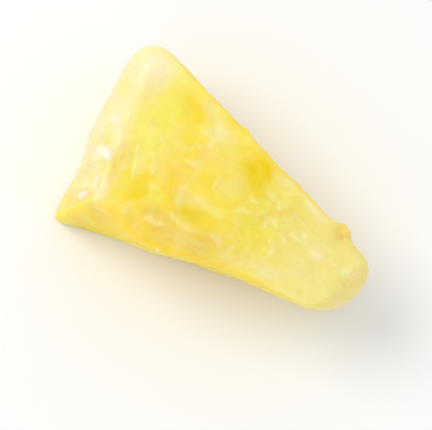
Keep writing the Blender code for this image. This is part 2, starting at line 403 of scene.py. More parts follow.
def noise(points, size, seed):
    """The eight random heights at the corners of a point's lattice cell, blended with the
    weights f * f * (3 - 2 f) along each axis."""
    table = np.random.default_rng(seed).uniform(-1, 1, LATTICE_HEIGHTS)
    place = points / size + LATTICE_SHIFT
    cell = np.floor(place).astype(np.int64)
    f = place - cell
    f = f * f * (3 - 2 * f)
    total = np.zeros(len(points))
    for corner in np.ndindex(2, 2, 2):
        key = (cell + corner) @ np.array(LATTICE_STRIDES) % LATTICE_HEIGHTS
        total += np.prod(np.where(corner, f, 1 - f), axis=1) * table[key]
    return total


def tangle(points, size, seed):
    """Two noises, one of them on a turned lattice, added and divided by the root of 2, so
    that no straight lattice line shows."""
    turned = noise(points @ TURNED, size, seed + TURNED_SEED)
    return (noise(points, size, seed) + turned) / np.sqrt(2)


def shift(size, reach, seed, kind=noise):
    """Three noises of the skin's points, with this seed and the next two, times the reach:
    a small move of each point, which makes whatever is looked up there uneven."""
    return np.column_stack([kind(skin, size, seed + k) for k in range(3)]) * reach


def fibre_frame(points, stretch):
    """Distance from the core axis divided by the stretch, arc length round it, height."""
    dx = CORE_AXIS[0] - points[:, 0]
    dy = points[:, 1] - CORE_AXIS[1]
    arc = np.arctan2(dy, dx) * FIBRE_RADIUS
    return np.column_stack([np.hypot(dx, dy) / stretch, arc, points[:, 2]])


print("a noise of 2 mm on the skin has a spread of", noise(skin, 2 * MM, seed=0).std().round(2))

# %% Broad relief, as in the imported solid
FIBRE_STRETCH = 3.0
# height and lattice size in mm, then the seed
BROAD_SWELLS = (0.18, 6.0, 3)
BROAD_FIBRES = (0.10, 1.9, 5)
SIDE_SCALLOPS = (0.16, 3.4, 11)


def bumps(place, height, size, seed):
    """The noise of one lattice size at the place, times the height; both are in mm."""
    return height * MM * noise(place, size * MM, seed)


upper = smooth(normals[:, 2], 0.5, 0.9)
lower = smooth(-normals[:, 2], 0.0, 0.5)
side = 1 - smooth(np.abs(normals[:, 2]), 0.3, 0.8)
broad = bumps(skin, *BROAD_SWELLS) + bumps(fibre_frame(skin, FIBRE_STRETCH), *BROAD_FIBRES)
broad += side * bumps(skin, *SIDE_SCALLOPS)
print("broad relief, mm:", np.round([broad.min() / MM, broad.max() / MM], 2))

# %% [markdown]
# ## Hollows
#
# Three seed pockets of the fruit's eyes were cut across on the upper face, and paring
# left two pits at the rind end. Each is an oval bell, deeper than it looks, because wet
# flesh lets light through.

# %% Hollows
EYE_POCKETS = [
    # place, the two half sizes, depth, in mm, then the turn in radians
    ((-3.0, -4.2), (2.2, 1.4), 0.30, 2.2),
    ((-6.0, 6.4), (1.6, 1.1), 0.30, 0.4),
    ((5.5, -0.4), (1.8, 1.0), 0.25, 0.9),
]
PARED_PITS = [
    ((-16.2, -7.3), (1.1, 1.4), 0.55, 0.9),
    ((-15.1, -10.8), (1.4, 0.7), 0.60, 0.7),
]


def oval(points, place, sizes, turn):
    """bell of the distance from the place, measured in half sizes along the turned axes."""
    dx, dy = points[:, 0] / MM - place[0], points[:, 1] / MM - place[1]
    a = (np.cos(turn) * dx + np.sin(turn) * dy) / sizes[0]
    b = (np.cos(turn) * dy - np.sin(turn) * dx) / sizes[1]
    return bell(np.hypot(a, b), 0.0, 1.0)


for place, sizes, depth, turn in EYE_POCKETS:
    broad -= upper * depth * MM * oval(skin, place, sizes, turn)
for place, sizes, depth, turn in PARED_PITS:
    broad -= (1 - lower) * depth * MM * oval(skin, place, sizes, turn)
print("with hollows, mm:", np.round([broad.min() / MM, broad.max() / MM], 2))

# %% [markdown]
# ## Ridges and creases
#
# The walls between the fruit's eyes are tougher than the flesh. After the cut they
# stand up as pale curved folds, and beside them run thin creases. Each is one bent
# stroke: a parabola through its two ends with a bow between them. A stroke's height is
# a bell of the distance from that line, thinner toward both ends. A fold falls steeply
# on one side and slopes away on the other, as torn fibres lie over each other.

# %% Places of the ridges and creases
RIDGES = [
    # start, end, bow to the left of the way, half width, height, in mm
    ((-13.2, -1.6), (-11.2, -5.6), 0.35, 0.34, 0.16),
    ((-12.1, -1.9), (-10.6, -4.6), 0.20, 0.20, 0.08),
    ((-11.0, -1.6), (-9.5, -3.8), 0.25, 0.28, 0.13),
    ((-10.2, -2.0), (-9.0, -3.7), 0.15, 0.18, 0.08),
    ((-9.8, -8.2), (-9.5, -10.0), 0.10, 0.22, 0.10),
    ((-4.9, -1.6), (-4.2, -5.2), -0.55, 0.36, 0.12),
    ((-4.3, -6.5), (-0.8, -6.7), -0.20, 0.36, 0.12),
    ((-17.0, -6.0), (-14.3, -9.7), 0.12, 0.24, 0.26),
    ((-14.4, -9.6), (-13.0, -11.1), 0.05, 0.24, 0.26),
    ((-13.2, -11.1), (-10.3, -11.3), -0.12, 0.20, 0.22),
    ((-6.4, 7.2), (-5.6, 4.8), 0.45, 0.34, 0.16),
    ((-2.3, 1.2), (-2.1, -0.5), 0.20, 0.20, 0.10),
    ((-7.0, 0.3), (-5.4, 0.9), -0.20, 0.24, 0.08),
    ((-5.4, -8.9), (-4.3, -8.2), 0.10, 0.26, 0.12),
    ((-6.4, -9.0), (-5.7, -8.6), 0.05, 0.30, 0.10),
    ((2.6, 0.5), (4.1, 1.7), 0.12, 0.16, 0.09),
    ((2.1, -1.3), (4.1, -0.1), 0.15, 0.18, 0.09),
    ((4.2, 3.2), (5.2, 2.8), 0.10, 0.22, 0.10),
    ((5.8, 3.1), (6.6, 2.5), 0.10, 0.22, 0.10),
    ((5.9, 0.7), (7.7, 0.4), 0.12, 0.20, 0.12),
    ((5.9, 0.6), (6.1, -0.8), 0.10, 0.18, 0.10),
    ((8.2, 0.1), (9.7, -0.8), 0.15, 0.18, 0.08),
    ((7.8, -1.6), (9.2, -3.2), 0.20, 0.24, 0.10),
    ((9.6, 0.5), (12.2, 0.9), 0.15, 0.30, 0.12),
    ((13.1, 0.0), (14.5, 0.4), 0.25, 0.34, 0.14),
    ((13.7, 1.4), (14.3, 0.2), 0.10, 0.26, 0.12),
    ((17.0, 0.1), (19.6, 1.5), 0.20, 0.24, 0.10),
    ((1.4, -5.6), (3.2, -6.0), 0.10, 0.26, 0.10),
    ((8.2, 6.0), (12.4, 5.1), 0.10, 0.50, 0.10),
]
CREASES = [
    # start, end, bow, half width, depth, in mm
    ((-16.4, -7.2), (-14.2, -10.6), 0.10, 0.18, 0.12),
    ((-4.4, -5.6), (-2.4, -5.9), -0.15, 0.18, 0.16),
    ((-5.1, -9.4), (-4.1, -8.9), 0.05, 0.16, 0.12),
    ((-7.1, -0.3), (-5.5, 0.3), -0.20, 0.16, 0.08),
    ((-12.7, -1.9), (-11.3, -4.9), 0.30, 0.16, 0.08),
    ((-10.7, -1.9), (-9.6, -3.5), 0.20, 0.14, 0.07),
    ((6.2, 0.2), (7.6, -0.1), 0.10, 0.16, 0.08),
    ((9.0, -0.1), (12.0, 0.1), 0.15, 0.16, 0.07),
    ((-1.9, 1.0), (-1.7, -0.3), 0.20, 0.16, 0.08),
]
print(len(RIDGES), "ridges and", len(CREASES), "creases")

# %% Strokes
STROKE_STEPS = 33
TIP_WIDTH = 0.35
GENTLE_SIDE = 3.2
RIDGE_PALE = 0.35
PALER_PER_MM = 2.0


def stroke(points, start, end, bow, width, gentle=1.0):
    """start + f (end - start) + 4 f (1 - f) bow sideways, for shares f from 0 to 1; then a
    bell of the distance to the nearest such place, its width shrinking as 1 - (2f - 1)^2
    does toward the tips, and gentle times as wide on the left of the way."""
    start, end = np.array(start), np.array(end)
    way = end - start
    left = np.array([-way[1], way[0]]) / np.linalg.norm(way)
    share = np.linspace(0, 1, STROKE_STEPS)
    line = start + share[:, None] * way + (4 * share * (1 - share) * bow)[:, None] * left
    plan = points[:, :2] / MM
    reach = 3 * width * gentle
    near = np.all((plan > line.min(0) - reach) & (plan < line.max(0) + reach), axis=1)
    away = np.linalg.norm(plan[near][:, None] - line, axis=2)
    nearest = away.argmin(axis=1)
    wide = width * (TIP_WIDTH + (1 - TIP_WIDTH) * (1 - (2 * share[nearest] - 1) ** 2))
    leftward = (plan[near] - line[nearest]) @ left / (width + away.min(axis=1))
    wide = wide * (1 + (gentle - 1) * smooth(leftward, 0.0, 0.5))
    total = np.zeros(len(points))
    total[near] = bell(away.min(axis=1), 0.0, wide)
    return total


ridge_height, ridge_line = np.zeros(len(skin)), np.zeros(len(skin))
for start, end, bow, width, height in RIDGES:
    ridge = stroke(skin, start, end, bow, width, GENTLE_SIDE)
    ridge_height = np.maximum(ridge_height, height * ridge)
    ridge_line = np.maximum(ridge_line, (RIDGE_PALE + PALER_PER_MM * height) * ridge)
crease_depth = np.zeros(len(skin))
for start, end, bow, width, depth in CREASES:
    crease_depth = np.maximum(crease_depth, depth * stroke(skin, start, end, bow, width))
print("ridges and creases, mm:", ridge_height.max().round(2), crease_depth.max().round(2))

# %% [markdown]
# ## Folds on the long sides
#
# The two long sides were cut along the fibres. The knife lifted a few of them, so thin
# folds lie there one above the other, nearly level, some of them in small groups. They
# are strokes too, seen from the front: their places, slopes and lengths are random.

# %% Side folds
FOLDS_EACH_SIDE = 46
FOLD_LENGTH = (1.2, 4.5)
FOLD_SLOPE = 0.16
FOLD_WIDTH = (0.14, 0.30)
FOLD_HEIGHT = (0.03, 0.10)
FOLD_PLACES = ((-15.0, 16.0), (2.0, 17.5))
FOLD_BOW = 0.3
FOLD_GENTLE_SIDE = 2.4
FOLD_STEP = np.array([0.5, 0.7])


def side_folds(facing, seed):
    """The largest of many strokes in the plane of X and Z, where a normal's Y part has
    the facing's sign; every third fold is set one FOLD_STEP from the one before."""
    random = np.random.default_rng(seed)
    total = np.zeros(len(skin))
    here = side * smooth(facing * normals[:, 1], 0.4, 0.8)
    place = np.zeros(2)
    for number in range(FOLDS_EACH_SIDE):
        fresh = np.array([random.uniform(*limits) for limits in FOLD_PLACES])
        place = place + FOLD_STEP if number % 3 == 2 else fresh
        length, slope = random.uniform(*FOLD_LENGTH), random.normal(0, FOLD_SLOPE)
        end = place + length * np.array([1.0, slope])
        width, height = random.uniform(*FOLD_WIDTH), random.uniform(*FOLD_HEIGHT)
        bow = random.uniform(-FOLD_BOW, FOLD_BOW)
        fold = stroke(skin[:, [0, 2]], place, end, bow, width, FOLD_GENTLE_SIDE)
        total = np.maximum(total, height * fold)
    return here * total


fold_height = side_folds(-1, seed=201) + side_folds(1, seed=202)
print("side folds up to", fold_height.max().round(2), "mm")

# %% [markdown]
# ## Torn lumps
#
# Where the rind came off, pale flesh is torn into lumps of a millimetre or two, and smaller beads of
# it sit on the two long rims. Their white is partly pale torn flesh and partly a painted highlight,
# where wet lumps catch the light. Each is a bell of the distance from its middle, cut off at both ends
# so that it has a flat top and steep flanks. The places are shifted by a noise, so no lump is round.
# The longer streaks at the front corner of the rind end are strokes with the same flat top.

# %% Lumps
LUMPS = [
    # place, radius, height, in mm, and whiteness, which is partly a painted highlight
    ((-16.1, -5.1, 18.6), 1.15, 0.34, 1.0),
    ((-16.9, -5.6, 16.2), 0.80, 0.24, 0.7),
    ((-16.2, -7.3, 16.8), 0.70, 0.22, 0.6),
    ((-15.7, -9.2, 16.3), 0.80, 0.26, 0.7),
    ((-14.4, -9.2, 19.1), 0.75, 0.24, 0.8),
    ((-14.5, -11.7, 17.6), 0.60, 0.20, 0.7),
    ((-17.4, -1.0, 18.8), 0.75, 0.16, 0.8),
    ((-19.2, 1.9, 17.6), 0.70, 0.16, 0.5),
    ((-17.7, -3.2, 16.6), 0.65, 0.18, 0.5),
    ((-2.7, -10.9, 18.6), 0.34, 0.20, 0.9),
    ((-5.5, -11.8, 18.4), 0.25, 0.12, 0.6),
    ((1.2, -9.5, 18.5), 0.22, 0.10, 0.5),
    ((8.2, -7.5, 18.4), 0.24, 0.12, 0.6),
    ((-11.8, -12.2, 18.4), 0.26, 0.12, 0.5),
    ((-2.9, 8.4, 18.8), 0.45, 0.30, 0.2),
]
STREAKS = [
    # start, end, bow, half width, height, whiteness, which is partly a painted highlight
    ((-16.9, -11.7), (-14.9, -10.2), 0.10, 0.44, 0.26, 1.0),
    ((-15.9, -10.0), (-14.9, -9.0), 0.05, 0.30, 0.12, 0.5),
]
STREAK_FADE = (11.5, 14.0)
STREAK_SHIFT = 0.2
LUMP_SHIFT = 0.8
LUMP_EDGE = (0.15, 0.75)

ragged = shift(1.9 * MM, 0.9 * MM, seed=61)
frayed = shift(0.8 * MM, 0.3 * MM, seed=64, kind=tangle)
lump_height, lump_white_and_highlight = np.zeros(len(skin)), np.zeros(len(skin))
for place, radius, height, white in LUMPS:
    away = np.linalg.norm((skin + LUMP_SHIFT * ragged + frayed) / MM - place, axis=1)
    lump = smooth(bell(away, 0.0, radius), *LUMP_EDGE)
    lump_height = np.maximum(lump_height, height * lump)
    lump_white_and_highlight = np.maximum(lump_white_and_highlight, white * lump)
for start, end, bow, width, height, white in STREAKS:
    streak = stroke(skin + STREAK_SHIFT * ragged, start, end, bow, width)
    streak = smooth(streak, *LUMP_EDGE) * smooth(skin[:, 2] / MM, *STREAK_FADE)
    lump_height = np.maximum(lump_height, height * streak)
    lump_white_and_highlight = np.maximum(lump_white_and_highlight, white * streak)
print("lumps up to", lump_height.max().round(2), "mm")

# %% [markdown]
# ## Zones
#
# The layers below, of relief first and then of colour, each belong to some part of the
# skin. A zone is a number for each point, 1 inside and 0 outside, with a soft border,
# worked out from the way that the surface faces or from the box coordinates. The two
# numbers in each smooth() are where its border begins and ends.

# %% Zones
rind_end = side * smooth(-normals[:, 0], 0.3, 0.8)
core_end = smooth(normals[:, 0], 0.25, 0.9)
cut_ends = np.clip(rind_end + side * core_end, 0, 1)
front = side * smooth(-normals[:, 1], 0.3, 0.8)
walls = side * (1 - cut_ends)
along_cut = (1 - cut_ends) * (1 - 0.4 * side)
rim = smooth(normals[:, 2], 0.15, 0.5) * (1 - smooth(normals[:, 2], 0.8, 0.97))
skyward = smooth(normals[:, 2], 0.05, 0.4)
high = smooth(skin[:, 2] / MM, 14.0, 17.0)
off_lobe = 1 - 0.8 * smooth(-s, 0.35, 0.8) * smooth(-t, 0.5, 1.0)
print("long sides take", walls.mean().round(2), "of the points, cut ends", cut_ends.mean().round(2))

# %% [markdown]
# ## Fibres and crests
#
# Between the large folds the flesh is a felt of fibres. Bundles of them stand up as
# thin broken crests two or three millimetres apart. A crest is where a noise passes
# through zero, so crests are long curved lines. The noise is looked up in a warped
# fibre frame, so they wander, and a second noise breaks them. On the two long sides the
# fibres lie along the cut, so there the frame is stretched further.

# %% Fibres
SIDE_STRETCH = 12.0
SIDE_WARP = 0.15


def crests(place, size, seed, width):
    """A bell of the noise's own value: 1 where the noise is zero, near 0 two widths off."""
    return bell(noise(place, size, seed), 0.0, width)


warp = shift(4.5 * MM, 1.1 * MM, seed=21)
drift = shift(9.0 * MM, 0.9 * MM, seed=101, kind=tangle)
fibres = fibre_frame(skin + warp, FIBRE_STRETCH)
along_side = fibre_frame(skin + drift + SIDE_WARP * warp, SIDE_STRETCH)

breaks = smooth(noise(skin + warp, 2.2 * MM, seed=25), -0.25, 0.35)
bundle_crests = crests(fibres, 2.1 * MM, 27, 0.12) * breaks
fibre_crests = crests(fibres, 0.8 * MM, 29, 0.25) * (1 - 0.5 * breaks)
side_lines = off_lobe * walls * bell(tangle(along_side, 2.6 * MM, seed=81), 0.0, 0.09)
side_lines *= smooth(tangle(along_side, 0.9 * MM, seed=83), -0.3, 0.5)
side_threads = off_lobe * walls * tangle(along_side, 0.7 * MM, seed=85)
print("points on a crest:", int((bundle_crests > 0.5).sum()))

# %% [markdown]
# ## Pulp, crags and eye pits
#
# Pulp between the fibres is lumpy, with small raised spots; their cream colour, painted further on, is
# a painted glint of wet pulp. On the two ends the fibres are cut across: the relief is craggy there,
# the core end shows the cut bundles as dots, and the last of three more eyes are left on the rind end
# as shallow pits.

# %% Pulp
lumps = noise(skin + warp, 1.4 * MM, seed=31)
small_lumps = noise(skin + warp, 0.75 * MM, seed=32)
flecks_and_glints = smooth(noise(skin + warp, 0.9 * MM, seed=71), 0.15, 0.8)
flecks_and_glints *= smooth(noise(skin, 3.2 * MM, seed=73), -0.2, 0.5)
crags = crests(skin + warp, 1.5 * MM, 35, 0.35)
broken = 0.75 + 0.5 * noise(skin, 0.8 * MM, seed=43)
bundle_ends = core_end * side * smooth(noise(skin, 0.8 * MM, seed=91), 0.3, 0.7)
print("points on a fleck:", int((flecks_and_glints > 0.5).sum()))

# %% Eye pits and torn places
RIND_EYES = [
    # place across and up, the two half sizes, depth, in mm, then the turn in radians
    ((4.6, 8.0), (3.4, 1.9), 0.55, 0.5),
    ((-5.8, 3.4), (2.7, 1.5), 0.45, -0.5),
    ((9.6, 14.6), (2.4, 1.4), 0.40, 0.4),
]
PIT_SHIFT = 1.2
TORN_ZONE = ((-16.0, -8.6), (1.9, 3.6), -0.15)
TUFT_SPREAD = 1.6 * MM

pit_depth, pit_wall = np.zeros(len(skin)), np.zeros(len(skin))
for place, sizes, depth, turn in RIND_EYES:
    pit = rind_end * oval((skin + PIT_SHIFT * ragged + frayed)[:, 1:], place, sizes, turn)
    pit_depth = np.maximum(pit_depth, depth * pit)
    pit_wall = np.maximum(pit_wall, bell(pit, 0.4, 0.2))
torn = oval(skin, *TORN_ZONE) * (1 - lower)
tuft = bell(np.linalg.norm(skin - TUFT_PLACE, axis=1), 0.0, TUFT_SPREAD)
rough_ends = cut_ends * (1 - 0.6 * high)
print("eye pits down to", pit_depth.max().round(2), "mm")

# %% [markdown]
# ## The fine relief, layer by layer
#
# Each pattern is multiplied by its height in millimetres and by its zone, and all are
# added up. Most heights are under a tenth of a millimetre. That is enough under a low
# light, and more would look like rock. Eye pits are the one layer that goes down far.

# %% Fine relief
everywhere = np.ones(len(skin))
fine_layers = [
    # height in mm, pattern, zone
    (0.07, bundle_crests, along_cut),
    (0.02, fibre_crests, along_cut),
    (0.03, flecks_and_glints, along_cut),
    (0.08, lumps, along_cut),
    (0.045, small_lumps, along_cut),
    (0.08, side_lines, everywhere),
    (0.06, side_threads, everywhere),
    (1.4, fold_height, off_lobe * broken),
    (1.0, lump_height, 1 - lower),
    (1.0, ridge_height - crease_depth, skyward * broken),
    (0.03, bundle_ends, everywhere),
    (-1.0, pit_depth, everywhere),
    (0.08, crags, rough_ends),
    (0.06, small_lumps, rough_ends),
    (0.16, crags, torn),
    (-0.14, noise(skin, 1.1 * MM, seed=37), torn),
    (0.012, noise(skin, 0.5 * MM, seed=33), upper),
    (0.07, noise(skin, 0.7 * MM, seed=41), rim),
    (0.45, noise(skin, 0.9 * MM, seed=47), tuft),
    (0.15, noise(skin, 0.45 * MM, seed=49), tuft),
]
fine = sum(height * pattern * zone for height, pattern, zone in fine_layers)
print("fine relief, mm:", np.round([fine.min(), fine.max()], 2))

# %% [markdown]
# ## The skin becomes a mesh
#
# All relief moves a point along its normal. It fades to nothing at the base, which stays
# flat on the table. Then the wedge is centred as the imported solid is, and measured
# against it.

# %% Mesh
CENTRE = np.array([0.187, -0.978, 0.0]) * MM
BASE_FADE = 1.4 * MM


def mesh_piece(name, points, faces):
    """An object at the origin whose mesh holds these points and faces."""
    mesh = bpy.data.meshes.new(name)
    mesh.from_pydata(points.tolist(), [], faces)
    mesh.shade_smooth()
    piece = bpy.data.objects.new(name, mesh)
    bpy.context.scene.collection.objects.link(piece)
    return piece


relief = (broad + fine * MM) * smooth(skin[:, 2], 0.0, BASE_FADE)
points = skin + normals * relief[:, None]
points[:, 2] = np.maximum(points[:, 2], 0.0)
points -= CENTRE
flesh = mesh_piece("wedge_flesh", points, quads.tolist() + [base_face.tolist()])
tree = BVHTree.FromPolygons(points.tolist(), quads.tolist())
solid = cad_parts["pineapple_chunk"].data
gaps = [tree.find_nearest(vert.co)[3] for vert in solid.vertices]
print("from the solid, mm: mean", round(np.mean(gaps) / MM, 3), "most", round(max(gaps) / MM, 3))

# %% [markdown]
# ## Where the flesh is pale and where it is ripe
#
# Ripe flesh is a deep clear yellow. It turns to a soft cream under the rind, and to a pale greenish
# yellow toward the core. The tough ridges are cream too, and the pits on the rind end a deeper yellow.
# Light and shade are painted in as well: shade on the long sides, along the rims, in the creases and
# in the hollows at the torn corner, and highlights on the torn lumps and small raised spots. A shader
# could mix all this from textures, but here the colours are worked out for each point of the mesh,
# from the same box coordinates and strokes as the shape, so a pale ridge lies exactly on its ridge.

# %% Palette


def linear(red, green, blue):
    """The linear values of a colour given as 0 to 255 on a screen."""
    value = np.array([red, green, blue]) / 255
    return np.where(value < 0.04045, value / 12.92, ((value + 0.055) / 1.055) ** 2.4)


YELLOW = linear(244, 222, 86)
RIPE = linear(241, 214, 18)
CREAM = linear(238, 228, 171)
LEMON = linear(240, 236, 114)
PEACH = linear(247, 210, 100)
SOFT = linear(233, 218, 92)
WHITE = linear(251, 233, 212)
MILK = linear(243, 236, 202)
CORE = linear(236, 225, 142)
TAN = linear(227, 196, 88)
NUB = linear(249, 228, 147)
DEEP = linear(233, 206, 4)
GOLD = linear(254, 209, 38)
AMBER = linear(248, 184, 22)
STRAW = linear(249, 230, 118)
RIND_SIDE = linear(242, 224, 166)
GREENISH = linear(238, 230, 118)
HOLLOW_SHADE = linear(222, 219, 120)
print("ripe yellow, linear:", np.round(RIPE, 3), "cream:", np.round(CREAM, 3))

# %% [markdown]
# ### Patches
#
# No rule says where one spot of flesh is riper than its neighbour. Such spots are listed one by one,
# as ovals with ragged outlines.

# %% Patches
RIPE_PATCHES = [
    # place and half sizes in mm, strength, turn in radians
    ((-9.0, 6.3), (2.0, 1.4), 0.7, 0.2),
    ((-6.5, -2.8), (1.2, 2.4), 0.6, 0.3),
    ((-9.0, -6.6), (2.2, 1.5), 0.8, 0.9),
    ((-9.3, -4.6), (1.6, 1.4), 0.5, 0.0),
    ((-5.0, -7.0), (1.5, 1.0), 0.5, 0.0),
    ((-11.6, -6.0), (1.4, 1.2), 0.4, 0.5),
    ((2.6, -0.7), (3.0, 1.2), 0.4, 0.2),
    ((-9.7, 0.9), (1.3, 1.0), 0.5, 0.0),
    ((6.0, -1.5), (1.8, 1.2), 0.4, 0.3),
    ((-13.8, -5.4), (1.1, 2.3), 0.6, 0.15),
    ((-12.0, 3.0), (3.0, 4.0), 0.25, 0.0),
]
PALE_PATCHES = [
    ((-4.8, 6.3), (2.2, 1.3), 0.5, 0.2),
    ((-0.5, 1.2), (1.9, 1.2), 0.4, 0.2),
    ((6.5, -6.3), (2.2, 0.9), 0.5, 0.2),
    ((-13.6, -10.5), (0.9, 0.7), 0.5, 0.0),
    ((-7.8, 7.4), (2.0, 0.9), 0.5, -0.5),
    ((-2.0, -2.7), (2.0, 0.9), 0.5, 0.1),
    ((5.6, 5.9), (3.0, 1.0), 0.6, -0.1),
    ((10.0, 5.6), (2.6, 0.8), 0.9, -0.15),
    ((10.0, -5.2), (2.4, 1.0), 0.7, 0.25),
]
MILK_PATCHES = [
    ((-17.6, 8.0), (2.4, 2.8), 0.9, 0.5),
    ((-17.6, -1.5), (1.2, 2.0), 0.35, 0.2),
    ((18.0, 0.9), (0.9, 1.1), 0.4, 0.0),
]
# white spots: pale flesh with a painted highlight on it
WHITE_AND_HIGHLIGHT_PATCHES = [
    ((13.7, 0.8), (0.9, 0.6), 0.5, -0.5),
    ((-13.4, -9.4), (0.7, 0.8), 0.5, 0.0),
]
DEEP_PATCHES = [
    ((1.9, 4.6), (2.9, 2.0), 1.35, 2.2),
    ((-2.4, -4.9), (2.2, 1.4), 1.1, 0.2),
    ((-9.3, -6.3), (1.2, 1.0), 0.5, 0.2),
    ((-11.4, 6.6), (1.2, 0.9), 0.4, 0.2),
]
# tan patches; the three by the front rim are painted shade of the rim
TAN_AND_RIM_SHADE_PATCHES = [
    ((-0.6, -8.4), (5.0, 1.9), 1.1, 0.25),
    ((-5.6, -7.8), (2.2, 1.3), 0.6, 0.1),
    ((-7.6, -11.2), (2.8, 1.5), 0.60, 0.1),
    ((7.0, 2.6), (3.0, 1.6), 0.30, 0.1),
]
GREEN_PATCHES = [
    ((-5.8, 5.2), (0.5, 0.9), 0.4, 0.1),
    ((6.0, 3.9), (1.7, 1.0), 0.7, 0.2),
    ((5.3, 2.0), (1.0, 0.8), 0.4, 0.0),
    ((-1.5, -8.6), (2.6, 1.0), 0.35, 0.25),
]
# painted shade: darker greenish spots in the hollows at the torn front corner of the rind end
HOLLOW_SHADE_PATCHES = [
    ((-14.9, -6.9), (1.3, 0.6), 0.9, -0.75),
    ((-17.2, -3.9), (0.7, 0.7), 0.7, 0.0),
    ((-15.9, -8.6), (0.9, 0.35), 0.6, -0.9),
    ((-13.6, -10.6), (0.8, 0.3), 0.5, -0.8),
    ((-11.8, -11.9), (1.8, 0.25), 0.6, 0.0),
    ((-15.2, -11.4), (0.9, 0.3), 0.6, 0.6),
]


def patches(group):
    """The largest of the group's oval bells at each point, times its strength; the place
    is shifted by a noise first, which gives the ovals ragged outlines."""
    total = np.zeros(len(skin))
    for place, sizes, strength, turn in group:
        total = np.maximum(total, strength * oval(skin + ragged, place, sizes, turn))
    return total


print("points in a ripe patch:", int((patches(RIPE_PATCHES) > 0.3).sum()))

# %% [markdown]
# ### Painting in layers
#
# As with thin glazes of paint, each colour goes on over the ones before it and lets them
# show through where it is thin. A layer is a colour, a strength and a zone. The order
# counts: the marks of a zone come after the zone itself. The first layers are the slow
# changes of ripeness and hue that all flesh has.

# %% Painter
def paint(colours, layers):
    """For each layer in turn, colours + share (colour - colours), where the share is the
    strength times the zone, held between 0 and 1."""
    for colour, strength, zone in layers:
        share = np.clip(strength * zone, 0, 1)
        colours = colours + share[:, None] * (colour - colours)
    return colours


print("ripe flesh under half of cream:", paint(RIPE[None], [(CREAM, 0.5, np.ones(1))]).round(3))

# %% Ripe and unripe flesh
mottle = 0.6 * noise(fibres, 1.3 * MM, seed=53) + 0.6 * noise(skin + warp, 2.4 * MM, seed=55)
clear = 0.6 * noise(skin + warp, 3.4 * MM, seed=75) + 0.25 * small_lumps
clear += 0.5 * noise(skin + 0.7 * warp, 1.6 * MM, seed=77)
hue = tangle(skin + 0.6 * warp, 2.6 * MM, seed=79)

colours = paint(np.tile(YELLOW, (len(skin), 1)), [
    (RIPE, 1.0, 0.10 + 0.12 * mottle + 0.38 * smooth(clear, 0.05, 0.6)),
    (STRAW, 0.45, smooth(-clear, 0.0, 0.5)),
    (LEMON, 0.7, smooth(hue, 0.1, 0.8)),
    (PEACH, 0.7, smooth(-hue, 0.1, 0.8)),
    (SOFT, 0.7, smooth(s, -0.2, 0.25)),
])
print("mean colour:", np.round(colours.mean(axis=0), 3))

# %% [markdown]
# ### Painted shade on the long sides, and the core
#
# The long sides get a painted shade: deep gold all over, more amber around the middle of their height,
# with amber and straw bands along the fibres. Near both rims they get a painted light in straw, as
# where light comes through a thin edge. Toward the core all flesh turns paler.

# %% Painted shade on the long sides, and the core
bands = off_lobe * tangle(along_side, 3.0 * MM, seed=57)
band_height = h + 0.4 * bands
amber_bands_and_shade = 0.5 * bell(band_height, -0.15, 0.3) + 0.8 * smooth(bands, 0.1, 0.9)
painted_rim_light = smooth(band_height, 0.35, 1.0) + smooth(-band_height, 0.55, 1.1)
pale_bands = smooth(-bands, 0.1, 0.9)
lobe = smooth(-s, 0.5, 0.85) * bell(t, -1.0, 0.35) * bell(h, -0.5, 1.3)
side_shade_zone = side * (1 - 0.8 * core_end) * (1 - 0.7 * lobe) * (1 - 0.25 * front - 0.2 * front * high)
toward_core = smooth(s, 0.15, 0.75) * (1 - 0.6 * side)

# painted shade on the long sides: gold all over and amber around mid height; straw near both rims is
# painted light
colours = paint(colours, [
    (GOLD, 1.0, side_shade_zone * (0.85 + 0.2 * mottle)),
    (AMBER, 0.55, side_shade_zone * amber_bands_and_shade),
    (STRAW, 0.5, side_shade_zone * (painted_rim_light + pale_bands)),
    (STRAW, 0.5, side_shade_zone * smooth(side_threads, 0.1, 0.8)),
    (CORE, 1.0, toward_core * (0.85 + 0.3 * mottle)),
])
print("mean colour:", np.round(colours.mean(axis=0), 3))

# %% [markdown]
# ### The pale rind end
#
# Under the rind the flesh is pale for a few millimetres, wider toward the back side, and
# a lemon yellow band borders it. On the long sides the pale flesh runs out in streaks.

# %% Pale rind end
PALE_WIDTH = 5.6
PALE_WIDER = 2.2

from_rind = (s + 1) * HALF_LENGTH / MM + 1.3 * noise(skin, 2.6 * MM, seed=51)
from_rind += walls * (2.5 * bands + 2.0 * tangle(along_side, 1.2 * MM, seed=87))
from_rind /= PALE_WIDTH + PALE_WIDER * t
toward_front = smooth(-t, 0.2, 0.9)
off_front = (1 - 0.85 * front) * (1 - 0.95 * lobe) * (1 - 0.5 * rind_end * toward_front)
pale_end = (1 - smooth(from_rind, 0.2, 1.0)) * (0.9 + 0.2 * mottle) * off_front
lemon_band = bell(from_rind, 0.95, 0.45) * smooth(t, -1.1, -0.2) * (1 - side)
rind_wall = rind_end * (1 - 0.95 * lobe) * (1 - 0.65 * toward_front)

colours = paint(colours, [
    (LEMON, 0.6, lemon_band),
    (CREAM, 1.0, pale_end),
    (RIPE, 1.0, upper * patches(RIPE_PATCHES)),
    (RIND_SIDE, 0.9, rind_wall),
])
print("pale end covers", pale_end.clip(0, 1).mean().round(2), "of the points")

# %% [markdown]
# ### Marks
#
# Last come the marks: the patches, then what follows the relief. Ridges, crests and folds are cream,
# and cut bundle ends white. Some marks are painted light and shade: the small raised spots get cream
# as painted glints, creases amber as painted shade, the hollows at the torn corner a greenish painted
# shade, the tan patches by the front rim and a gold on the rims painted shade, and the torn lumps a
# white that is partly a painted highlight.

# %% Patches and torn lumps
deep = patches(DEEP_PATCHES)

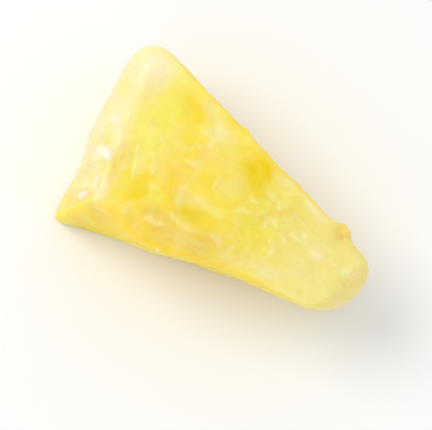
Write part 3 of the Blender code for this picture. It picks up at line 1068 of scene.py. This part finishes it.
colours = paint(colours, [
    (CREAM, 1.0, upper * patches(PALE_PATCHES)),
    # tan; by the front rim it is painted shade
    (TAN, 1.0, upper * patches(TAN_AND_RIM_SHADE_PATCHES)),
    (DEEP, 1.0, upper * deep),
    (GREENISH, 1.0, upper * patches(GREEN_PATCHES)),
    # painted shade in the hollows
    (HOLLOW_SHADE, 1.0, high * patches(HOLLOW_SHADE_PATCHES)),
    (MILK, 1.0, (1 - lower) * patches(MILK_PATCHES)),
    # white: pale torn flesh, and painted highlights on the lumps, streaks and white spots
    (WHITE, 1.0, (1 - lower) * np.maximum(patches(WHITE_AND_HIGHLIGHT_PATCHES), lump_white_and_highlight)),
])
print("mean colour:", np.round(colours.mean(axis=0), 3))

# %% Ridges, crests, folds and pits
crest_zone = along_cut * (1 - 0.8 * upper * deep.clip(0, 1))
faint = rind_end * (1 - 0.6 * high) * (1 - 0.5 * toward_front)
# painted shade: gold on the rounded rims, away from the pale rind end and the core end
rim_shade = rim * (1 - pale_end) * (1 - smooth(s, 0.5, 0.8))

colours = paint(colours, [
    (CREAM, 0.8, ridge_line * skyward * broken),
    # painted glints: the small raised spots are made cream
    (CREAM, 0.30, flecks_and_glints * crest_zone),
    (CREAM, 1.0, (0.20 * bundle_crests + 0.06 * fibre_crests) * crest_zone),
    (STRAW, 0.7, side_lines),
    # painted shade: the creases are darkened to amber
    (AMBER, 1.2, crease_depth * upper),
    (GOLD, 0.35, rim_shade),
    (NUB, 0.8, core_end),
    (WHITE, 0.35, bundle_ends),
    (STRAW, 1.4, pit_depth),
    (MILK, 1.0, faint * (0.4 * pit_wall + 0.5 * smooth(lumps + small_lumps, 0.1, 0.9))),
    (STRAW, 0.5, faint * smooth(-lumps - 0.5 * small_lumps, 0.1, 0.9)),
    (CREAM, 5.0, fold_height * off_lobe * broken),
    (TAN, 0.7, tuft),
])
print("mean colour:", np.round(colours.mean(axis=0), 3))

# %% [markdown]
# ## Attributes
#
# The shader reads three things from the mesh: the painted colour, the place along and
# across the fibres, and how wet the flesh is. Juice stands on the upper face, least on
# the deepest spots, and the cut sides are nearly dry.

# %% Attributes
DRY_SIDES = 0.75
DRY_DEEP = 0.4


def add_attribute(piece, name, kind, values):
    """Stores one value for each point: kind is FLOAT_COLOR or FLOAT_VECTOR."""
    layer = piece.data.attributes.new(name, kind, "POINT")
    layer.data.foreach_set("color" if kind == "FLOAT_COLOR" else "vector", values.ravel())


wet = (1 - DRY_SIDES * side) * (1 - DRY_DEEP * deep.clip(0, 1))
fibre_place = fibres + side[:, None] * (along_side - fibres)
add_attribute(flesh, "flesh_colour", "FLOAT_COLOR", np.column_stack([colours, everywhere]))
add_attribute(flesh, "fibre_place", "FLOAT_VECTOR", fibre_place / MM)
add_attribute(flesh, "juice", "FLOAT_COLOR", np.column_stack([wet, wet, wet, everywhere]))
print("juice, least and most:", np.round([wet.min(), wet.max()], 2))

# %% [markdown]
# ## Wet flesh
#
# Light goes a few millimetres into pineapple before it comes out again, red light
# furthest, so shadows inside the relief glow yellow. That is subsurface scattering. On
# top lies a thin film of juice: a smooth clear coat over a rougher surface. Noise adds
# what is too fine for the mesh: streaks and grains to the bump, streaks to the colour,
# and wetter and drier spots to the roughness and the coat. Dry flesh is duller.

# %% Material helpers


def node(tree, kind, **values):
    """A new node with its settings, or its inputs where the name is an input's."""
    made = tree.nodes.new(kind)
    for name, value in values.items():
        if name.replace("_", " ").title() in made.inputs:
            made.inputs[name.replace("_", " ").title()].default_value = value
        else:
            setattr(made, name, value)
    return made


def new_material(name):
    """A material with nodes, its node tree and its Principled shader."""
    material = bpy.data.materials.new(name)
    material.use_nodes = True
    return material, material.node_tree, material.node_tree.nodes["Principled BSDF"]


def noise_at(tree, place, **values):
    """The value, near 0.5 on average, of a noise texture that reads the place."""
    made = node(tree, "ShaderNodeTexNoise", **values)
    tree.links.new(place, made.inputs["Vector"])
    return made.outputs["Fac"]


def ranged(tree, value, **limits):
    """The value moved from its range, from_min to from_max, to that of to_min to to_max."""
    made = node(tree, "ShaderNodeMapRange", **limits)
    tree.links.new(value, made.inputs["Value"])
    return made.outputs["Result"]


def combined(tree, operation, first, second):
    """first + second or first * second, as the operation says."""
    made = node(tree, "ShaderNodeMath", operation=operation)
    tree.links.new(first, made.inputs[0])
    tree.links.new(second, made.inputs[1])
    return made.outputs["Value"]


# %% Flesh material
FLESH_SOCKETS = {
    "Specular IOR Level": 0.2,
    "Subsurface Weight": 0.65,
    "Subsurface Radius": (1.0, 0.5, 0.12),
    "Subsurface Scale": 3.5 * MM,
    "Coat Roughness": 0.12,
    "Coat IOR": 1.36,
}
MIDDLE = {"from_min": 0.3, "from_max": 0.7}
STREAK_TONES = {"to_min": 0.98, "to_max": 1.015}
WET_ROUGHNESS = {"to_min": 0.24, "to_max": 0.46}
DRY_ROUGHNESS = 0.4
COAT = {"from_min": 0.45, "from_max": 0.65, "to_min": 0.0, "to_max": 0.7}
BUMP_STRENGTH = 0.2
BUMP_DISTANCE = 0.08 * MM


def flesh_material():
    """Colour = attribute times a streak tone; roughness = noise plus dryness; coat and
    bump = noise times juice; the other sockets are the same all over."""
    material, tree, shader = new_material("wet_pineapple_flesh")
    link = tree.links.new
    colour = node(tree, "ShaderNodeAttribute", attribute_name="flesh_colour")
    fibre = node(tree, "ShaderNodeAttribute", attribute_name="fibre_place").outputs["Vector"]
    juice = node(tree, "ShaderNodeAttribute", attribute_name="juice").outputs["Fac"]
    where = node(tree, "ShaderNodeTexCoord").outputs["Object"]
    streaks = noise_at(tree, fibre, scale=1.8, detail=3.0, roughness=0.5)
    grains = noise_at(tree, where, scale=1800.0, detail=3.0, roughness=0.55)
    wetness = noise_at(tree, where, scale=420.0, detail=2.0, roughness=0.5)

    tinted = node(tree, "ShaderNodeVectorMath", operation="SCALE")
    link(colour.outputs["Color"], tinted.inputs["Vector"])
    link(ranged(tree, streaks, **MIDDLE, **STREAK_TONES), tinted.inputs["Scale"])
    link(tinted.outputs["Vector"], shader.inputs["Base Color"])

    dull = ranged(tree, wetness, **MIDDLE, **WET_ROUGHNESS)
    dry = ranged(tree, juice, to_min=DRY_ROUGHNESS, to_max=0.0)
    link(combined(tree, "ADD", dull, dry), shader.inputs["Roughness"])
    film = ranged(tree, wetness, **COAT)
    link(combined(tree, "MULTIPLY", film, juice), shader.inputs["Coat Weight"])

    bump = node(tree, "ShaderNodeBump", distance=BUMP_DISTANCE)
    link(ranged(tree, juice, to_min=0.0, to_max=BUMP_STRENGTH), bump.inputs["Strength"])
    link(combined(tree, "ADD", streaks, grains), bump.inputs["Height"])
    link(bump.outputs["Normal"], shader.inputs["Normal"])

    for name, value in FLESH_SOCKETS.items():
        shader.inputs[name].default_value = value
    return material


flesh.data.materials.append(flesh_material())
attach(flesh, "root")
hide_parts("pineapple_chunk")
print("flesh has", len(flesh.data.vertices), "points")

# %% [markdown]
# ## Table and light
#
# A plain white table, one wide lamp high at the upper left of the picture, and a bright
# even room. The soft light leaves only a faint shadow, toward the lower right.

# %% Table
TABLE_HALF = 4.0
TABLE_TONES = {"to_min": 0.90, "to_max": 0.92}


def table_material():
    """White, with clouds of two near tones by a noise of the object's coordinates."""
    material, tree, shader = new_material("white_table")
    where = node(tree, "ShaderNodeTexCoord").outputs["Object"]
    cloud = noise_at(tree, where, scale=30.0, detail=2.0)
    tree.links.new(ranged(tree, cloud, **TABLE_TONES), shader.inputs["Base Color"])
    shader.inputs["Roughness"].default_value = 0.9
    shader.inputs["Specular IOR Level"].default_value = 0.2
    return material


table_corners = np.array([[-1, -1, 0], [1, -1, 0], [1, 1, 0], [-1, 1, 0]]) * TABLE_HALF
table = mesh_piece("table", table_corners, [[0, 1, 2, 3]])
table.data.materials.append(table_material())
table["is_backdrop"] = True
print("table, m:", 2 * TABLE_HALF)

# %% Light
KEY_DISTANCE = 0.8
KEY_SIZE = 0.4
KEY_WATTS = 2.3
KEY_WAY = (-0.42, 0.38, 0.82)
ROOM_LIGHT = 0.81

way = np.array(KEY_WAY) @ np.array([picture_right, picture_up, toward_camera])
way /= np.linalg.norm(way)
lamp = bpy.data.lights.new("key", "AREA")
lamp.shape = "DISK"
lamp.size = KEY_SIZE
lamp.energy = KEY_WATTS
key = bpy.data.objects.new("key", lamp)
bpy.context.scene.collection.objects.link(key)
key.location = AIM + way * KEY_DISTANCE
key.rotation_euler = Vector(way).to_track_quat("Z", "Y").to_euler()

room = bpy.data.worlds.new("room")
room.use_nodes = True
background = room.node_tree.nodes["Background"]
background.inputs["Color"].default_value = (1.0, 1.0, 1.0, 1.0)
background.inputs["Strength"].default_value = ROOM_LIGHT
bpy.context.scene.world = room
print("lamp from", np.round(way, 2))

# %% [markdown]
# ## Measure and finish
#
# The boxes of the imported solid and of what is shown are gathered side by side, and the shown size is
# printed.

# %% Sizes
shown_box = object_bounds()
sizes = {"cad": [list(corner) for corner in cad_box], "visual": [list(corner) for corner in shown_box]}
print("shown, mm:", [round(x / MM, 1) for x in shown_box[1] - shown_box[0]])
